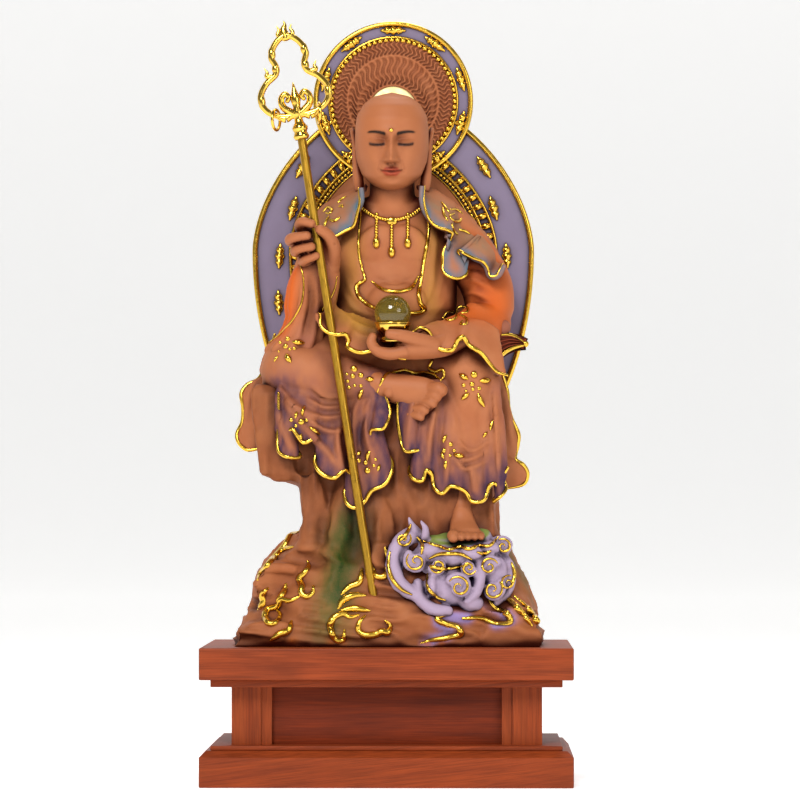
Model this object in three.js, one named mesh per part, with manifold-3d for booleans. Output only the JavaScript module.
// Seated Jizo statue with its staff, crystal ball and halo plate, on a wooden plinth.
// Millimetres, +Z up. The origin is the middle of the plinth's underside, and the figure faces -Y.
import * as THREE from 'three';
import { mergeVertices } from 'three/addons/utils/BufferGeometryUtils.js';
import Module from 'manifold-3d';

const wasm = await Module();
wasm.setup();

// Plinth boards, posts and panels.
const PLINTH_WIDE = 204;
const PLINTH_DEEP = 136;
const BASE_THICK = 20;
const BASE_CHAMFER = 3.5;
const STEP_THICK = 2.5;
const WAIST_TALL = 32;
const NECK_THICK = 4;
const TOP_THICK = 17.5;
const STEP_INSET = 6;
const POST_INSET = 17;
const POST_SIDE = 16;
const POST_LIP = 6;
const POST_LIP_SETBACK = 2;
const PANEL_SETBACK = 6;
const TOP_EASE = 0.8;

// Statue, to the top of its halo.
const STATUE_TALL = 352.5;

// Halo plate behind the back of the seat, and the mortise that it stands in.
const SEAT_BACK = 29;
const PLATE_THICK = 6;
const PLATE_GAP = 3.6;
const TENON_WIDE = 44;
const TENON_DEEP = 13;
const FIT_GAP = 0.4;

// Staff, its bore in the rock, the socket and collar of its head, and the rings on the head's loop.
const STAFF_RADIUS = 2.4;
const BORE_DEEP = 5;
const HEAD_SOCKET = 4;
const COLLAR_WALL = 0.9;
const LOOP_WIRE = 1.35;
const RING_RADIUS = 5.6;
const RING_WIRE = 0.9;
const RING_PLAY = 1;

// Crystal ball, and its cup in the palm.
const BALL_RADIUS = 10;
const CUP_RADIUS = 9.6;
const CUP_TALL = 11;
const CUP_FLOOR = 6;
const CUP_LIP = 0.6;
const REST_GAP = 0.3;

// The carving's points are drawn for a statue 352.5 tall, with its middle line at MIDDLE.
const unit = STATUE_TALL / 352.5;
const MIDDLE = 2;
const floorOfStatue = BASE_THICK + STEP_THICK + WAIST_TALL + NECK_THICK + TOP_THICK;

const clay = new THREE.MeshStandardMaterial({ color: 0xb8724f, roughness: 0.75, metalness: 0 });
const gilt = new THREE.MeshStandardMaterial({ color: 0xd9a92e, roughness: 0.25, metalness: 1 });
const lilac = new THREE.MeshStandardMaterial({ color: 0x8f8398, roughness: 0.6, metalness: 0 });
const redwood = new THREE.MeshStandardMaterial({ color: 0x9a4a2c, roughness: 0.5, metalness: 0 });
const crystal = new THREE.MeshStandardMaterial({
  color: 0xb5a870, roughness: 0.03, metalness: 0, transparent: true, opacity: 0.4,
});

const statue = new THREE.Group();
statue.position.z = floorOfStatue;

// A point of the carving, given at its drawn size.
function at(x, y, z) {
  return new THREE.Vector3(x, y, z).multiplyScalar(unit);
}

// A closed solid from any closed geometry, with its faces turned outwards.
function solidOf(geometry) {
  const bare = geometry.clone();
  for (const name of Object.keys(bare.attributes)) {
    if (name !== 'position') {
      bare.deleteAttribute(name);
    }
  }
  const merged = mergeVertices(bare, 1e-4);
  const corners = merged.attributes.position;
  const faces = new Uint32Array(merged.index.array);
  const a = new THREE.Vector3();
  const b = new THREE.Vector3();
  const c = new THREE.Vector3();
  let volume = 0;
  for (let i = 0; i < faces.length; i += 3) {
    a.fromBufferAttribute(corners, faces[i]);
    b.fromBufferAttribute(corners, faces[i + 1]);
    c.fromBufferAttribute(corners, faces[i + 2]);
    volume += a.dot(b.cross(c));
  }
  if (volume < 0) {
    for (let i = 0; i < faces.length; i += 3) {
      [faces[i + 1], faces[i + 2]] = [faces[i + 2], faces[i + 1]];
    }
  }
  return new wasm.Manifold(
    new wasm.Mesh({ numProp: 3, vertProperties: corners.array, triVerts: faces }),
  );
}

function geometryOf(solid) {
  const mesh = solid.getMesh();
  const geometry = new THREE.BufferGeometry();
  geometry.setAttribute('position', new THREE.BufferAttribute(mesh.vertProperties, 3));
  geometry.setIndex(new THREE.BufferAttribute(mesh.triVerts, 1));
  geometry.computeVertexNormals();
  return geometry;
}

function joined(geometries) {
  return geometries.map(solidOf).reduce((sum, next) => sum.add(next));
}

// The same solid with the pockets filled that its overlapping forms close off inside it.
function filled(solid) {
  const skins = solid.decompose().filter((skin) => skin.volume() > 0);
  return skins.reduce((sum, next) => sum.add(next));
}

// A closed body from a list of quads, each four vectors, and triangles, each three.
function facetedBody(patches) {
  const corners = [];
  for (const patch of patches) {
    for (let i = 1; i + 1 < patch.length; i += 1) {
      for (const p of [patch[0], patch[i], patch[i + 1]]) {
        corners.push(p.x, p.y, p.z);
      }
    }
  }
  const geometry = new THREE.BufferGeometry();
  geometry.setAttribute('position', new THREE.Float32BufferAttribute(corners, 3));
  return geometry;
}

// A closed body through a stack of rings that all have as many points, its ends fanned to their middles.
function ringBody(rings) {
  const patches = [];
  const count = rings[0].length;
  for (let k = 0; k + 1 < rings.length; k += 1) {
    for (let i = 0; i < count; i += 1) {
      const j = (i + 1) % count;
      patches.push([rings[k][i], rings[k][j], rings[k + 1][j], rings[k + 1][i]]);
    }
  }
  for (const [ring, turned] of [[rings[0], true], [rings.at(-1), false]]) {
    const middle = ring.reduce((sum, p) => sum.add(p), new THREE.Vector3()).divideScalar(count);
    for (let i = 0; i < count; i += 1) {
      const j = (i + 1) % count;
      patches.push(turned ? [middle, ring[j], ring[i]] : [middle, ring[i], ring[j]]);
    }
  }
  return facetedBody(patches);
}

// A value between the stations of a list, with an eased step from one to the next.
function between(values, t) {
  const place = Math.min(t * (values.length - 1), values.length - 1 - 1e-9);
  const k = Math.floor(place);
  const f = place - k;
  return values[k] + (values[k + 1] - values[k]) * f * f * (3 - 2 * f);
}

// How far round a limb's end its one cap ring sits, in radians.
const CAP_ANGLE = 1.05;

// A rounded limb: an ellipse carried along a smooth line through stations [x, y, z, across, deep].
function limb(stations, { sides = 8, steps = 3, across = [1, 0, 0], blunt = 0.8 } = {}) {
  const line = new THREE.CatmullRomCurve3(stations.map(([x, y, z]) => at(x, y, z)), false, 'centripetal');
  const wide = stations.map((s) => s[3] * unit);
  const deep = stations.map((s) => (s[4] ?? s[3]) * unit);
  const side = new THREE.Vector3(...across);
  const rings = [];
  const ringAt = (t, push, shrink) => {
    const along = line.getTangent(t);
    const middle = line.getPoint(t).addScaledVector(along, push);
    const u = side.clone().addScaledVector(along, -side.dot(along)).normalize();
    const v = new THREE.Vector3().crossVectors(along, u);
    const ring = [];
    for (let i = 0; i < sides; i += 1) {
      const turn = (2 * Math.PI * i) / sides;
      ring.push(middle.clone()
        .addScaledVector(u, Math.cos(turn) * between(wide, t) * shrink)
        .addScaledVector(v, Math.sin(turn) * between(deep, t) * shrink));
    }
    rings.push(ring);
  };
  const cap = (t, way) => {
    const reach = blunt * Math.min(between(wide, t), between(deep, t));
    ringAt(t, way * reach * Math.sin(CAP_ANGLE), Math.cos(CAP_ANGLE));
  };
  cap(0, -1);
  for (let k = 0; k <= steps; k += 1) {
    ringAt(k / steps, 0, 1);
  }
  cap(1, 1);
  return ringBody(rings);
}

// An ellipsoid with its middle, its three half sizes and its turns in degrees.
function lump([x, y, z], [rx, ry, rz], [tx, ty, tz] = [0, 0, 0], wide = 8, tall = 6) {
  const toTurn = Math.PI / 180;
  const geometry = new THREE.SphereGeometry(unit, wide, tall);
  geometry.rotateX(Math.PI / 2);
  geometry.scale(rx, ry, rz);
  geometry.rotateX(tx * toTurn).rotateY(ty * toTurn).rotateZ(tz * toTurn);
  return geometry.translate(...at(x, y, z).toArray());
}

// A thick hanging cloth between a top line and a hem line, both lists of [x, y, z], backed towards +Y.
function cloth(top, hem, { across = 12, down = 2, thick = 8, bulge = 2, pleats = 0, pleat = 0 } = {}) {
  const upper = new THREE.CatmullRomCurve3(top.map((p) => at(...p)));
  const lower = new THREE.CatmullRomCurve3(hem.map((p) => at(...p)));
  const backing = new THREE.Vector3(0, thick * unit, 0);
  const front = [];
  for (let i = 0; i <= across; i += 1) {
    const u = i / across;
    const a = upper.getPoint(u);
    const b = lower.getPoint(u);
    const column = [];
    for (let j = 0; j <= down; j += 1) {
      const v = j / down;
      const p = a.clone().lerp(b, v);
      const wave = pleat * v * Math.sin(2 * Math.PI * pleats * u);
      p.y -= unit * (bulge * Math.sin(Math.PI * v) * Math.sin(Math.PI * u) + wave);
      column.push(p);
    }
    front.push(column);
  }
  const back = front.map((column) => column.map((p) => p.clone().add(backing)));
  const patches = [];
  for (let i = 0; i < across; i += 1) {
    for (let j = 0; j < down; j += 1) {
      patches.push([front[i][j], front[i][j + 1], front[i + 1][j + 1], front[i + 1][j]]);
      patches.push([back[i][j], back[i + 1][j], back[i + 1][j + 1], back[i][j + 1]]);
    }
    patches.push([front[i][0], front[i + 1][0], back[i + 1][0], back[i][0]]);
    patches.push([front[i][down], back[i][down], back[i + 1][down], front[i + 1][down]]);
  }
  for (let j = 0; j < down; j += 1) {
    patches.push([front[0][j], back[0][j], back[0][j + 1], front[0][j + 1]]);
    patches.push([front[across][j], front[across][j + 1], back[across][j + 1], back[across][j]]);
  }
  return facetedBody(patches);
}

// Rock as a stack of rounded boxes [z, left, right, front, back], roughened by slow waves round it.
function boulder(levels, { sides = 24, rough = 0.045, square = 0.62 } = {}) {
  const rings = levels.map(([z, left, right, front, back]) => {
    const ring = [];
    for (let i = 0; i < sides; i += 1) {
      const turn = (2 * Math.PI * i) / sides;
      const c = Math.sign(Math.cos(turn)) * Math.abs(Math.cos(turn)) ** square;
      const s = Math.sign(Math.sin(turn)) * Math.abs(Math.sin(turn)) ** square;
      const wave = 1 - rough * (1 + Math.sin(7 * turn + z * 0.11) * Math.cos(4 * turn - z * 0.07));
      const x = (left + right) / 2 + c * wave * (right - left) / 2;
      const y = (front + back) / 2 + s * wave * (back - front) / 2;
      ring.push(at(x, y, z));
    }
    return ring;
  });
  return ringBody(rings);
}

function bell(x) {
  return Math.exp(-x * x);
}

// Head: an egg that narrows to the jaw, with brow, eye sockets, nose, lips and chin raised on its front.
function head() {
  const middle = [MIDDLE, -5, 280.5];
  const half = [19.5, 22, 27.5];
  const turns = 16;
  const rows = [-26, -21, -16, -12.5, -9, -5, 0, 3, 7, 13, 19, 23.5, 26.5];
  return ringBody(rows.map((z) => {
    const level = Math.sqrt(1 - (z / half[2]) ** 2) ** 0.85;
    const jaw = 1 - 0.08 * Math.max(0, -z / half[2]);
    const ring = [];
    for (let i = 0; i < turns; i += 1) {
      const even = (2 * Math.PI * i) / turns - Math.PI;
      const turn = even - 0.45 * Math.sin(even);
      const x = half[0] * level * jaw * Math.sin(turn);
      const front = Math.max(0, Math.cos(turn));
      const nose = 4.4 * bell(x / 3.2) * bell((z + 4.5) / 5.5);
      const brow = 1.2 * bell(x / 12) * bell((z - 7) / 3);
      const eyes = 1.3 * bell((Math.abs(x) - 7.5) / 4) * bell((z - 1) / 3);
      const lips = 1.5 * bell(x / 5.5) * bell((z + 13) / 2.5) + bell(x / 5) * bell((z + 21) / 3);
      const y = -half[1] * level * Math.cos(turn) - front * (nose + brow - eyes + lips);
      ring.push(at(middle[0] + x, middle[1] + y, middle[2] + z));
    }
    return ring;
  }));
}

function headAndNeck() {
  const parts = [head(), limb([[MIDDLE, 2, 238, 14, 13], [MIDDLE, 0, 262, 12.5, 12]], { steps: 1 })];
  for (const side of [-1, 1]) {
    const x = MIDDLE + side * 19.5;
    parts.push(limb(
      [[x, -3, 289, 2.6, 4.5], [x + side, -2, 277, 2.2, 4], [x - side, -3, 262, 2.4, 3.2]],
      { sides: 5 },
    ));
  }
  return parts;
}

function torso() {
  const levels = [
    [140, 42, 24], [168, 38, 24], [190, 34, 24], [210, 36, 22.5], [225, 36.5, 19.5], [238, 30, 15.5],
    [248, 18, 11],
  ];
  const rings = levels.map(([z, wide, deep]) => {
    const ring = [];
    const sides = 16;
    for (let i = 0; i < sides; i += 1) {
      const turn = (2 * Math.PI * i) / sides;
      ring.push(at(MIDDLE + wide * Math.cos(turn), 5 + deep * Math.sin(turn), z));
    }
    return ring;
  });
  return ringBody(rings);
}

// The robe's raised edges: the long opening round the bare chest, and the belt line on the belly.
function robeEdges() {
  const opening = [
    [-19, -12, 247, 1.8], [-15.5, -16, 233, 1.8], [-15, -19.5, 216, 1.8], [-13.5, -21, 200, 1.8],
    [-16, -21, 190, 1.8], [-2, -23, 182.5, 1.8], [12, -23, 181.5, 1.8], [20, -20, 189, 1.8],
    [20.5, -18.5, 208, 1.8], [22.5, -14, 229, 1.8], [22, -9, 247, 1.8],
  ];
  const belt = [[-9, -17.5, 202, 1.6], [4, -18.5, 196.5, 2.2], [17, -16, 204, 1.6]];
  return [limb(opening, { sides: 4, steps: 12 }), limb(belt, { sides: 4 })];
}

// The necklace: a string of beads from shoulder to shoulder and three pendants on the bare chest.
function necklace() {
  const string = [[-14.5, -5.5, 243], [-7, -10.8, 238], [2, -12, 236], [11, -10.8, 238], [18.5, -5.5, 243]];
  const pendants = [[-6.5, -16, 222], [2, -17, 217.5], [11.5, -16, 222.5]];
  return [
    limb(string.map((p) => [...p, 1.4]), { sides: 4, steps: 6 }),
    ...pendants.map(([x, y, z]) => limb([[x, -11, 237, 1.3], [x, y, z, 2]], { sides: 3, steps: 1 })),
  ];
}

// Shoulder cape: a short mantle over both shoulders whose tail hangs ruffled over the figure's left arm.
function cape() {
  const near = cloth(
    [[-12, -4, 249], [-24, 0, 248], [-33, 4, 240], [-36, 10, 238]],
    [[-16, -16, 219], [-26, -20, 216], [-38, -14, 216], [-44, -2, 214]],
    { across: 7, thick: 9, bulge: 3 },
  );
  const far = cloth(
    [[18, -5, 252], [28, -3, 248], [38, 2, 242], [42, 10, 236]],
    [[26, -15, 218], [34, -23, 214], [46, -16, 214], [56, -2, 212]],
    { across: 8, thick: 9, bulge: 3 },
  );
  const tail = cloth(
    [[30, -16, 224], [40, -16, 228], [52, -8, 226], [56, 4, 222]],
    [
      [31, -20, 205], [36, -24, 203], [43, -22, 206], [40, -17, 219], [52, -18, 213], [58, -13, 204],
      [64, -6, 209], [65, 6, 208],
    ],
    { across: 10, thick: 8 },
  );
  return [near, far, tail];
}

// The raised right arm: upper arm, forearm, and the long sleeve that hangs from the wrist to the knee.
function rightArm() {
  return [
    limb([[-30, 5, 230, 13, 13], [-40, 2, 205, 13, 13], [-45, -6, 176, 12, 13]], { steps: 2 }),
    limb([[-46, -8, 168, 11, 11], [-40, -20, 188, 9, 9], [-33.5, -29, 206, 6.4, 6.4]]),
    cloth(
      [[-44, -26, 206], [-36, -32, 209], [-26, -30, 208], [-22, -20, 204]],
      [[-58, -20, 163], [-44, -28, 162], [-30, -30, 161], [-20, -24, 166]],
      { across: 9, thick: 16, bulge: -3, pleats: 3, pleat: 1.5 },
    ),
  ];
}

// The right hand: a palm behind the staff, four fingers round it from the left, the thumb from the right.
function rightHand() {
  const parts = [lump([-38.5, -33, 216], [9.5, 5.5, 11], [0, -12, 0])];
  const knuckles = [[-50, -35, 225], [-50.5, -35.5, 220], [-49, -35, 215], [-46.5, -34.5, 210.5]];
  knuckles.forEach(([x, y, z], row) => {
    parts.push(limb(
      [
        [x + 5, y + 3, z, 3.2], [x, y - 2, z + 1, 3], [x + 5, -43.5, z - 1, 2.8],
        [-37 + row, -45, z - 2.5, 2.5],
      ],
      { sides: 4, across: [0, 0, 1] },
    ));
  });
  parts.push(limb(
    [[-30, -33, 207, 4], [-28, -38, 216, 3.4], [-30, -42, 224, 3], [-34, -44.5, 227.5, 2.6]],
    { sides: 5 },
  ));
  return parts;
}

// The left arm bends forwards, and its sleeve opens in a ruffled cuff over the thigh.
function leftArm() {
  return [
    limb([[40, 5, 228, 13, 13], [51, 2, 206, 13, 14], [57, 0, 184, 12, 14]], { steps: 2 }),
    limb([[56, -2, 180, 13, 13], [48, -16, 173, 13, 12], [34, -29, 169, 10, 9]], { across: [0, 0, 1] }),
    cloth(
      [[22, -35, 172], [36, -38, 177], [52, -26, 180], [62, -10, 178]],
      [[27, -39, 163], [38, -42, 159], [46, -37, 166], [56, -32, 155], [66, -16, 149]],
      { across: 10, thick: 12, pleats: 4, pleat: 1.5 },
    ),
    limb([[48, 2, 170, 7, 6], [62, 0, 171, 8, 6], [76, -2, 173, 3, 3]], { sides: 6 }),
    lump([61, 6, 180], [7, 6, 7], [0, 0, 0], 7, 5),
  ];
}

// The left hand lies palm up under the ball's cup.
function leftHand() {
  const parts = [
    limb([[34, -33, 166, 7, 6], [20, -38, 163, 9, 5.5], [6, -40, 161, 9.5, 5]], { across: [0, 1, 0] }),
  ];
  for (let finger = 0; finger < 4; finger += 1) {
    const y = -46.5 + finger * 4.4;
    parts.push(limb(
      [[8, y, 161, 2.7], [-3, y, 160, 2.5], [-11, y, 163.5, 2.2], [-12.5, y, 167.5, 1.9]],
      { sides: 4, across: [0, 1, 0] },
    ));
  }
  parts.push(limb(
    [[24, -43, 164, 3.5], [15, -48, 166.5, 3.2], [7, -50.5, 168.5, 2.6]],
    { sides: 5, steps: 2, across: [0, 1, 0] },
  ));
  return parts;
}

// The right leg is folded across the seat, and its bare foot rests by the other knee.
function rightLeg() {
  const parts = [
    limb([[-2, 4, 154, 20, 20], [-32, -8, 156, 19, 20], [-54, -18, 154, 18, 19]], { across: [0, 0, 1] }),
    limb([[-54, -19, 153, 18, 18], [-30, -22, 146, 17, 16], [-4, -28, 143, 9.5, 9]], { across: [0, 0, 1] }),
    limb(
      [[-4, -30, 143.5, 8.5, 8], [12, -33, 141, 8.5, 6.5], [24, -36, 136.5, 9.5, 5]],
      { across: [0, 0, 1] },
    ),
  ];
  for (let toe = 0; toe < 5; toe += 1) {
    const size = toe === 0 ? 3.6 : 2.7 - 0.15 * toe;
    const tip = [29.5 - toe * 1.9, -37.5, 140.5 - toe * 3.1];
    parts.push(lump(tip, [size * 1.2, size, size], [0, 25, 0], 5, 4));
  }
  return parts;
}

// The left leg hangs down, and its bare foot rests on the lotus.
function leftLeg() {
  const parts = [
    limb([[18, 2, 152, 20, 19], [34, -12, 154, 19, 18], [45, -22, 151, 17.5, 17]]),
    limb([[45.5, -23, 150, 17, 16.5], [44.5, -24, 118, 15.5, 15], [42, -25, 88, 9, 9]]),
    limb([[41.5, -26, 92, 6.8, 7], [41, -27, 74, 6.5, 8], [42, -35, 66, 8, 4.6], [43, -42, 64, 8.8, 3.2]]),
  ];
  for (let toe = 0; toe < 5; toe += 1) {
    const size = toe === 0 ? 3 : 2.3 - 0.1 * toe;
    parts.push(lump([37 + toe * 3.2, -47 + toe * 0.8, 63.5], [size, size * 1.3, size], [0, 0, 0], 5, 4));
  }
  return parts;
}

// Skirts and robe tails that hang over the rock, with their wavy hems.
function skirts() {
  return [
    cloth(
      [[-62, -20, 146], [-46, -35, 140], [-28, -38, 134], [-12, -36, 136], [-3, -32, 145]],
      [
        [-60, -30, 106], [-53, -33, 106], [-46, -29, 113], [-38, -34, 102], [-30, -37, 93], [-24, -33, 97],
        [-18, -38, 77], [-9, -38, 85], [0, -36, 92], [3, -34, 102],
      ],
      { across: 16, thick: 15, pleats: 5, pleat: 1.6 },
    ),
    cloth(
      [[6, -26, 131], [22, -33, 138], [36, -39, 132], [47, -41, 128], [60, -32, 134], [64, -18, 146]],
      [
        [9, -26, 105], [14, -30, 94], [21, -33, 95], [30, -38, 84], [36, -34, 88], [47, -40, 80],
        [56, -35, 88], [62, -31, 80], [67, -22, 97],
      ],
      { across: 15, thick: 15, pleats: 5, pleat: 1.6 },
    ),
    cloth(
      [[-50, -14, 172], [-56, -16, 150], [-60, -18, 128], [-60, -14, 106]],
      [[-63, 0, 173], [-72, -2, 150], [-82, -4, 136], [-84, -4, 114], [-76, -4, 107]],
      { across: 7, thick: 26 },
    ),
    cloth(
      [[52, -16, 160], [60, -20, 138], [61, -20, 112], [60, -16, 88]],
      [[62, 0, 156], [67, -8, 134], [73, -10, 113], [71, -8, 105], [77, -8, 96], [70, -8, 87]],
      { across: 8, thick: 26 },
    ),
  ];
}

// The rock: a spreading foot, a waist and the wide seat, with a ledge behind for the halo plate.
function rock() {
  const foot = boulder([
    [0, -86, 86, -53, 50], [9, -85.5, 86, -53, 50], [20, -77, 82, -51, 49], [34, -73.5, 75, -46, 48],
    [47, -68, 71, -41, 48], [57, -58, 64, -36, 47], [61, -50, 58, -32, 46],
  ], { sides: 24 });
  const seat = boulder([
    [52, -48, 61, -31, SEAT_BACK], [89, -50, 62, -28, SEAT_BACK], [93, -67, 63, -26, SEAT_BACK],
    [118, -72, 66, -26, SEAT_BACK], [141, -75, 66, -22, SEAT_BACK], [148, -66, 60, -16, SEAT_BACK - 3],
  ], { sides: 18, rough: 0.03 });
  return [foot, seat];
}

// The lotus that carries the left foot: a bowl with two tiers of curled lobes and a flat top.
function lotus() {
  const levels = [
    [15, 17, 0], [22, 25, 3], [31, 29, 4], [38, 25, 1], [45, 30, 3], [54, 33, 4], [61, 29, 2], [63, 22, 0],
  ];
  const lobes = 6;
  const sides = 3 * lobes;
  return ringBody(levels.map(([z, reach, lobe], tier) => {
    const ring = [];
    for (let i = 0; i < sides; i += 1) {
      const turn = (2 * Math.PI * i) / sides;
      const radius = reach + lobe * Math.cos(lobes * turn + (tier > 3 ? Math.PI : 0));
      ring.push(at(35 + radius * Math.cos(turn), -24 + 0.78 * radius * Math.sin(turn), z));
    }
    return ring;
  }));
}

// The staff's line, from its foot on the rock to the top of its shaft.
const staffFoot = at(-6, -46, 19);
const staffTop = at(-48, -38, 284.5);
const staffWay = staffTop.clone().sub(staffFoot).normalize();
const staffTurn = new THREE.Quaternion().setFromUnitVectors(new THREE.Vector3(0, 0, 1), staffWay);

function alongStaff(radius, from, to) {
  const rod = new THREE.CylinderGeometry(radius, radius, to - from, 14);
  rod.rotateX(Math.PI / 2).translate(0, 0, (from + to) / 2);
  return rod.applyQuaternion(staffTurn).translate(...staffFoot.toArray());
}

const staffLength = staffTop.distanceTo(staffFoot);
const cupAt = at(3, -40, 167.2);
const ballAt = cupAt.clone().setZ(cupAt.z + CUP_FLOOR + REST_GAP + BALL_RADIUS);
const plateFront = SEAT_BACK * unit + PLATE_GAP;
const ledge = 58 * unit;

function figure() {
  const carved = joined([
    ...rock(), torso(), ...headAndNeck(), ...robeEdges(), ...necklace(), ...cape(), ...rightArm(),
    ...rightHand(), ...leftArm(), ...leftHand(), ...rightLeg(), ...leftLeg(), ...skirts(), lotus(),
    lump([-6, -44, 16], [9, 8, 5], [0, 0, 0], 7, 5),
  ]);
  const bore = alongStaff(STAFF_RADIUS + FIT_GAP, -BORE_DEEP - REST_GAP, 1.1 * staffLength);
  const cupSeat = new THREE.CylinderGeometry(CUP_RADIUS + FIT_GAP, CUP_RADIUS + FIT_GAP, 2 * CUP_TALL, 20);
  cupSeat.rotateX(Math.PI / 2).translate(cupAt.x, cupAt.y, cupAt.z - REST_GAP + CUP_TALL);
  const over = STATUE_TALL;
  const mortiseFloor = ledge - TENON_DEEP - REST_GAP;
  const mortise = new THREE.BoxGeometry(TENON_WIDE + 2 * FIT_GAP, PLATE_THICK + 2 * FIT_GAP, over);
  mortise.translate(MIDDLE * unit, plateFront + PLATE_THICK / 2, mortiseFloor + over / 2);
  const behind = new THREE.BoxGeometry(over, over, over);
  behind.translate(0, plateFront - PLATE_GAP / 2 + over / 2, ledge + 4 * unit + over / 2);
  const under = new THREE.BoxGeometry(over, over, over).translate(0, 0, -over / 2);
  const cuts = [bore, cupSeat, mortise, behind, under];
  return geometryOf(cuts.reduce((left, cut) => left.subtract(solidOf(cut)), filled(carved)));
}

// The plate's two middles above the statue's floor, and the head halo's radius, which reaches STATUE_TALL.
const bodyMiddle = 222 * unit;
const headMiddle = 307 * unit;
const headRadius = STATUE_TALL - headMiddle;

// A point of the body halo's outline, a pointed egg: a direction from its middle and a share of its size.
function eggPoint(turn, share) {
  const c = Math.cos(turn);
  const s = Math.sin(turn);
  const [power, tall] = s > 0 ? [1.7, 88.5] : [2, 134];
  const size = (Math.abs(c / 80) ** power + Math.abs(s / tall) ** power) ** (-1 / power);
  return new THREE.Vector2(size * c * share, size * s * share).multiplyScalar(unit);
}

function outline(point, count) {
  const points = [];
  for (let i = 0; i < count; i += 1) {
    points.push(point((2 * Math.PI * i) / count));
  }
  return points;
}

// A slab standing in the XZ plane, from its outline and its front and back.
function slab(points, middleZ, front, back) {
  const ringAt = (y) => points.map((p) => new THREE.Vector3(MIDDLE * unit + p.x, y, middleZ + p.y));
  return ringBody([ringAt(front), ringAt(back)]);
}

// A raised rim that follows an outline, with a chamfered front.
function rim(outer, inner, middleZ, raise) {
  const put = (p, y) => new THREE.Vector3(MIDDLE * unit + p.x, y, middleZ + p.y);
  const high = plateFront - raise * unit;
  const low = plateFront + PLATE_THICK / 4;
  const patches = [];
  outer.forEach((p, i) => {
    const j = (i + 1) % outer.length;
    const crown = [p.clone().lerp(inner[i], 0.5), outer[j].clone().lerp(inner[j], 0.5)];
    const ring = [
      [put(p, low), put(outer[j], low)], [put(crown[0], high), put(crown[1], high)],
      [put(inner[i], low), put(inner[j], low)],
    ];
    for (let k = 0; k < 3; k += 1) {
      const [a, b] = ring[k];
      const [d, c] = ring[(k + 1) % 3];
      patches.push([a, b, c, d]);
    }
  });
  return facetedBody(patches);
}

// The head halo's field of rays, proud of the plate.
function rays() {
  const count = 28;
  const low = plateFront + PLATE_THICK / 4;
  const high = plateFront - 0.6 * unit;
  const level = (share, y, crest) => {
    const ring = [];
    for (let i = 0; i < count; i += 1) {
      const turn = (2 * Math.PI * i) / count;
      const [x, z] = [Math.cos(turn), Math.sin(turn)].map((way) => way * share * headRadius);
      ring.push(new THREE.Vector3(MIDDLE * unit + x, y - crest * (i % 2), headMiddle + z));
    }
    return ring;
  };
  const crest = 1.1 * unit;
  return ringBody([
    level(0.74, low, 0), level(0.74, high, crest), level(0.5, high, crest), level(0.3, high, 0),
  ]);
}

function haloPlate() {
  const circle = (share) => outline((turn) => {
    const size = share * headRadius;
    return new THREE.Vector2(size * Math.cos(turn), size * Math.sin(turn));
  }, 28);
  const egg = (share) => outline((turn) => eggPoint(turn, share), 28);
  const back = plateFront + PLATE_THICK;
  const tenonTop = 110 * unit;
  const tenonFoot = ledge - TENON_DEEP;
  const tenon = new THREE.BoxGeometry(TENON_WIDE, PLATE_THICK, tenonTop - tenonFoot);
  tenon.translate(MIDDLE * unit, plateFront + PLATE_THICK / 2, (tenonTop + tenonFoot) / 2);
  const below = new THREE.BoxGeometry(STATUE_TALL, STATUE_TALL, STATUE_TALL);
  below.translate(0, plateFront, tenonFoot - STATUE_TALL / 2);
  const made = joined([
    slab(egg(1), bodyMiddle, plateFront, back), slab(circle(1), headMiddle, plateFront - unit, back), tenon,
    rim(egg(1), egg(0.965), bodyMiddle, 1.5), rim(egg(0.72), egg(0.66), bodyMiddle, 2),
    rim(circle(1), circle(0.945), headMiddle, 2.6), rim(circle(0.82), circle(0.75), headMiddle, 3),
    rays(),
  ]);
  return geometryOf(made.subtract(solidOf(below)));
}

// Where a ring hangs on the staff head's loop, across and up.
const RING_SPOT = [12, 14.2];

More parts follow.
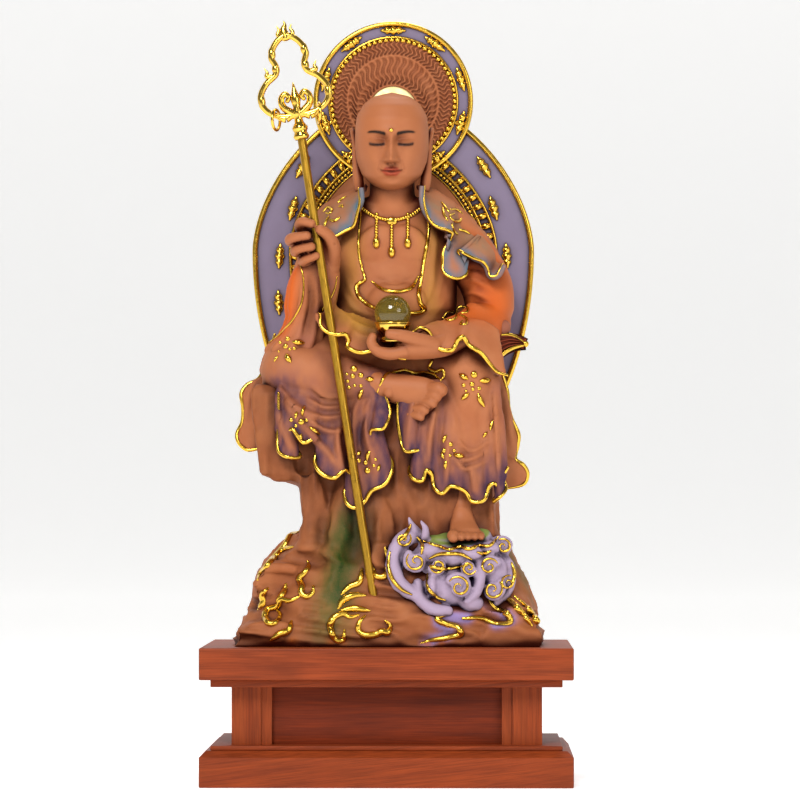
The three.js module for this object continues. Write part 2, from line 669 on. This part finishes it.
// The staff head: a gourd-shaped loop with a flame on top, and two scrolls round a bud inside it.
function staffHead() {
  const half = [
    RING_SPOT, [17.4, 18.5], [19, 25], [15, 32], [8.6, 37], [7.9, 41], [9.7, 46.5], [6.5, 53.5],
  ];
  const mirrored = half.map(([u, v]) => [-u, v]).reverse();
  const points = [[0, 12.5], ...half, [0, 57.5], ...mirrored].map(([u, v]) => at(u, 0, v));
  const line = new THREE.CatmullRomCurve3(points, true);
  const steps = 24;
  const sides = 4;
  const wire = LOOP_WIRE * unit;
  const rings = [];
  for (let k = 0; k < steps; k += 1) {
    const along = line.getTangent(k / steps);
    const middle = line.getPoint(k / steps);
    const outwards = new THREE.Vector3(along.z, 0, -along.x);
    const ring = [];
    for (let i = 0; i < sides; i += 1) {
      const turn = (2 * Math.PI * i) / sides;
      ring.push(middle.clone().addScaledVector(outwards, wire * Math.cos(turn))
        .add(new THREE.Vector3(0, wire * Math.sin(turn), 0)));
    }
    rings.push(ring);
  }
  const patches = [];
  rings.forEach((ring, k) => {
    const next = rings[(k + 1) % steps];
    ring.forEach((p, i) => {
      const j = (i + 1) % sides;
      patches.push([p, ring[j], next[j], next[i]]);
    });
  });
  const parts = [facetedBody(patches)];
  parts.push(limb([[0, 0, 56, 2.8, 2], [-0.6, 0, 61, 1.8, 1.4], [0.4, 0, 65.5, 0.5, 0.5]], { sides: 5 }));
  const bud = [[0, 0, 5, 3, 2.6], [0, 0, 14, 2.8, 2.4], [0, 0, 24, 2.2, 1.6], [0, 0, 30.5, 0.5]];
  parts.push(limb(bud, { sides: 5 }));
  for (const side of [-1, 1]) {
    const flame = [[side * 2, 0, 56, 1.2], [side * 4, 0, 58.5, 1.1], [side * 3.2, 0, 62, 0.5]];
    const spur = [[side * 10.5, 0, 35.5, 1.4], [side * 13.6, 0, 37, 1.2], [side * 13.8, 0, 40, 0.5]];
    parts.push(limb(flame, { sides: 4, steps: 2 }), limb(spur, { sides: 4, steps: 2 }));
    parts.push(limb(
      [
        [0, 0, 13, 1.8], [side * 4.5, 0, 15.5, 1.7], [side * 8, 0, 19, 1.6], [side * 7.6, 0, 24, 1.5],
        [side * 4.4, 0, 25.6, 1.4], [side * 3.6, 0, 22.4, 1.2],
      ],
      { sides: 4, steps: 6, across: [0, 1, 0] },
    ));
  }
  const bore = STAFF_RADIUS + FIT_GAP;
  const wall = bore + COLLAR_WALL;
  const shoulder = HEAD_SOCKET + 2 * COLLAR_WALL;
  const collar = [
    [0, -1], [wall, -1], [wall + 0.7, 1], [wall, 3], [wall + 0.4, shoulder], [bore, shoulder + 3],
    [0, shoulder + 3],
  ].map(([r, z]) => new THREE.Vector2(r, z));
  parts.push(new THREE.LatheGeometry(collar, 10).rotateX(Math.PI / 2));
  const socket = new THREE.CylinderGeometry(bore, bore, 2 * (HEAD_SOCKET + REST_GAP), 12);
  return geometryOf(joined(parts).subtract(solidOf(socket.rotateX(Math.PI / 2))));
}

// A ring hung on the staff head's loop, turned about the plumb line.
function hangRing(name, side, turn) {
  const ring = new THREE.TorusGeometry(RING_RADIUS * unit, RING_WIRE * unit, 4, 14);
  const hung = addTo(statue, name, ring.rotateY(Math.PI / 2).rotateZ(turn), gilt);
  const [across, up] = RING_SPOT;
  hung.position.copy(at(side * across, 0, up)).applyQuaternion(staffTurn).add(crown.position);
  hung.position.z -= RING_RADIUS * unit - RING_WIRE * unit - LOOP_WIRE * unit - RING_PLAY;
}

function addTo(group, name, geometry, material) {
  const mesh = new THREE.Mesh(geometry, material);
  mesh.name = name;
  group.add(mesh);
  return mesh;
}

// The cup: a waisted foot under a bowl that the ball sits in.
function cup() {
  const dish = BALL_RADIUS + REST_GAP;
  const ballZ = CUP_FLOOR + dish;
  const mouth = Math.acos((ballZ - CUP_TALL) / dish);
  const foot = [[0.72, 0], [0.82, 0.1], [0.7, 0.3], [0.78, 0.5], [0.98, 0.75], [1, 0.9]];
  const profile = [[0, 0], ...foot.map(([across, up]) => [across * CUP_RADIUS, up * CUP_TALL])];
  profile.push([dish * Math.sin(mouth) + CUP_LIP, CUP_TALL]);
  for (const share of [1, 0.67, 0.33, 0]) {
    profile.push([dish * Math.sin(mouth * share), ballZ - dish * Math.cos(mouth * share)]);
  }
  const turned = new THREE.LatheGeometry(profile.map(([x, z]) => new THREE.Vector2(x, z)), 14);
  return geometryOf(solidOf(turned.rotateX(Math.PI / 2))).translate(...cupAt);
}

addTo(statue, 'figure_and_rock', figure(), clay);
addTo(statue, 'halo_plate', haloPlate(), lilac);
addTo(statue, 'staff_shaft', alongStaff(STAFF_RADIUS, -BORE_DEEP, staffLength), gilt);
addTo(statue, 'ball_cup', cup(), gilt);
addTo(statue, 'crystal_ball', new THREE.IcosahedronGeometry(BALL_RADIUS, 2).translate(...ballAt), crystal);

const crown = new THREE.Group();
crown.position.copy(staffTop).addScaledVector(staffWay, -HEAD_SOCKET);
crown.quaternion.copy(staffTurn);
addTo(crown, 'staff_head', staffHead(), gilt);
statue.add(crown);
hangRing('ring_left', -1, 0.35);
hangRing('ring_right', 1, 0.15);

// A board with its upper edges eased or chamfered all round, centred on the plinth.
function board(wide, deep, z, thick, ease) {
  const level = (inset, height) => {
    const x = wide / 2 - inset;
    const y = deep / 2 - inset;
    return [[-x, -y], [x, -y], [x, y], [-x, y]].map(([u, v]) => new THREE.Vector3(u, v, height));
  };
  return ringBody([level(0, z), level(0, z + thick - ease), level(ease, z + thick)]);
}

// A corner post whose two inner flanks step back to the panels, as an extruded outline.
function post(signX, signY, z) {
  const full = POST_SIDE;
  const lip = POST_LIP;
  const back = POST_LIP_SETBACK;
  const notch = PANEL_SETBACK;
  const shape = new THREE.Shape([
    [0, 0], [full, 0], [full, back], [full + lip, back], [full + lip, notch], [notch, notch],
    [notch, full + lip], [back, full + lip], [back, full], [0, full],
  ].map(([u, v]) => new THREE.Vector2(u, v)));
  const bar = new THREE.ExtrudeGeometry(shape, { depth: WAIST_TALL, bevelEnabled: false });
  bar.translate(POST_INSET - PLINTH_WIDE / 2, POST_INSET - PLINTH_DEEP / 2, z);
  return geometryOf(solidOf(bar.scale(-signX, -signY, 1)));
}

const plinth = new THREE.Group();

function addBoard(name, { inset = 0, z, thick, ease = 0 }) {
  addTo(plinth, name, board(PLINTH_WIDE - 2 * inset, PLINTH_DEEP - 2 * inset, z, thick, ease), redwood);
}

const waistZ = BASE_THICK + STEP_THICK;
const neckZ = waistZ + WAIST_TALL;
const panelInset = POST_INSET + PANEL_SETBACK + REST_GAP;
addBoard('plinth_base_board', { z: 0, thick: BASE_THICK, ease: BASE_CHAMFER });
addBoard('plinth_step', { inset: STEP_INSET, z: BASE_THICK, thick: STEP_THICK, ease: TOP_EASE });
addBoard('plinth_waist', { inset: panelInset, z: waistZ, thick: WAIST_TALL });
for (const [side, x] of [['left', -1], ['right', 1]]) {
  for (const [end, y] of [['front', -1], ['back', 1]]) {
    addTo(plinth, `plinth_post_${side}_${end}`, post(x, y, waistZ), redwood);
  }
}
addBoard('plinth_neck', { inset: STEP_INSET, z: neckZ, thick: NECK_THICK });
addBoard('plinth_top_board', { z: neckZ + NECK_THICK, thick: TOP_THICK, ease: TOP_EASE });

const jizo = new THREE.Group();
jizo.add(plinth, statue);

export default jizo;
